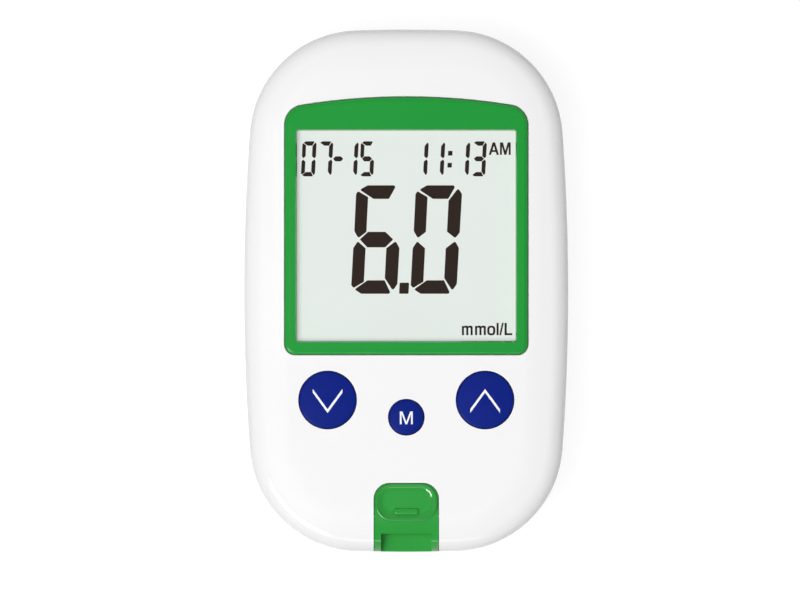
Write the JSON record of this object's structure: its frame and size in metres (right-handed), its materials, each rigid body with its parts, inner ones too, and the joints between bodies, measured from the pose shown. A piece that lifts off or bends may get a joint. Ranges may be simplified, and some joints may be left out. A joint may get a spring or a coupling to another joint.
{
  "type": "blood glucose meter",
  "caption": "Pocket blood glucose meter with a display in an arched surround, round keys, a strip port and a sliding battery door.",
  "frame": {"origin": "on the table plane, under the middle of the case", "axes": "+Z out of the display, +Y towards the top of the display, -Y towards the test strip port"},
  "size_m": [0.0546, 0.088, 0.0224],
  "materials": {
    "case_white": "satin",
    "trim_green": "gloss",
    "key_blue": "satin",
    "clear_lens": "polished",
    "lcd_glass": "polished",
    "lcd_film": "satin",
    "lcd_reflector": "satin",
    "seal_epoxy": "matte",
    "gasket_foam": "matte",
    "zebra_rubber": "satin",
    "holder_white": "matte",
    "board_green": "satin",
    "chip_black": "matte",
    "connector_black": "matte",
    "resistor_ceramic": "satin",
    "can_metal": "satin",
    "dome_steel": "polished",
    "contact_gold": "polished",
    "contact_nickel": "satin",
    "cell_jacket": "satin",
    "screw_steel": "satin",
    "foot_rubber": "matte",
    "label_paper": "matte"
  },
  "bodies": {
    "meter": {"front_cover": "case_white", "rear_cover": "case_white", "display_bezel": "trim_green", "display_lens": "clear_lens", "lcd_polariser": "lcd_film", "lcd_front_glass": "lcd_glass", "lcd_seal": "seal_epoxy", "lcd_rear_glass": "lcd_glass", "lcd_reflector": "lcd_reflector", "lcd_gasket": "gasket_foam", "lcd_holder": "holder_white", "zebra_connector": "zebra_rubber", "main_board": "board_green", "main_chip": "chip_black", "buzzer": "can_metal", "crystal": "can_metal", "resistors": "resistor_ceramic", "strip_connector": "connector_black", "strip_contacts": "contact_gold", "battery_cell_left": "cell_jacket", "battery_cell_right": "cell_jacket", "positive_contact": "contact_nickel", "negative_contact": "contact_nickel", "link_contact": "contact_nickel", "battery_springs": "contact_nickel", "case_screws": "screw_steel", "board_screws": "screw_steel", "rubber_feet": "foot_rubber", "rating_label": "label_paper", "dome_down": "dome_steel", "dome_up": "dome_steel", "dome_memory": "dome_steel"},
    "key_down": {"key_down": "key_blue"},
    "key_up": {"key_up": "key_blue"},
    "key_memory": {"key_memory": "key_blue"},
    "battery_door": {"battery_door": "case_white"},
    "strip_port_cover": {"strip_port_cover": "trim_green"}
  },
  "joints": [
    {"name": "down_press", "type": "slide", "parent": "meter", "child": "key_down", "axis": [0, 0, -1], "range_m": [0, 0.0004], "stiffness_N_per_m": 1500, "springref_m": -0.0002, "deforming": ["dome_down"]},
    {"name": "up_press", "type": "slide", "parent": "meter", "child": "key_up", "axis": [0, 0, -1], "range_m": [0, 0.0004], "stiffness_N_per_m": 1500, "springref_m": -0.0002, "deforming": ["dome_up"]},
    {"name": "memory_press", "type": "slide", "parent": "meter", "child": "key_memory", "axis": [0, 0, -1], "range_m": [0, 0.0004], "stiffness_N_per_m": 1500, "springref_m": -0.0002, "deforming": ["dome_memory"]},
    {"name": "door_slide", "type": "slide", "parent": "meter", "child": "battery_door", "axis": [0, 1, 0], "range_m": [0, 0.0605]},
    {"name": "port_cover_slide", "type": "slide", "parent": "meter", "child": "strip_port_cover", "axis": [0, -1, 0], "range_m": [0, 0.0125]}
  ]
}
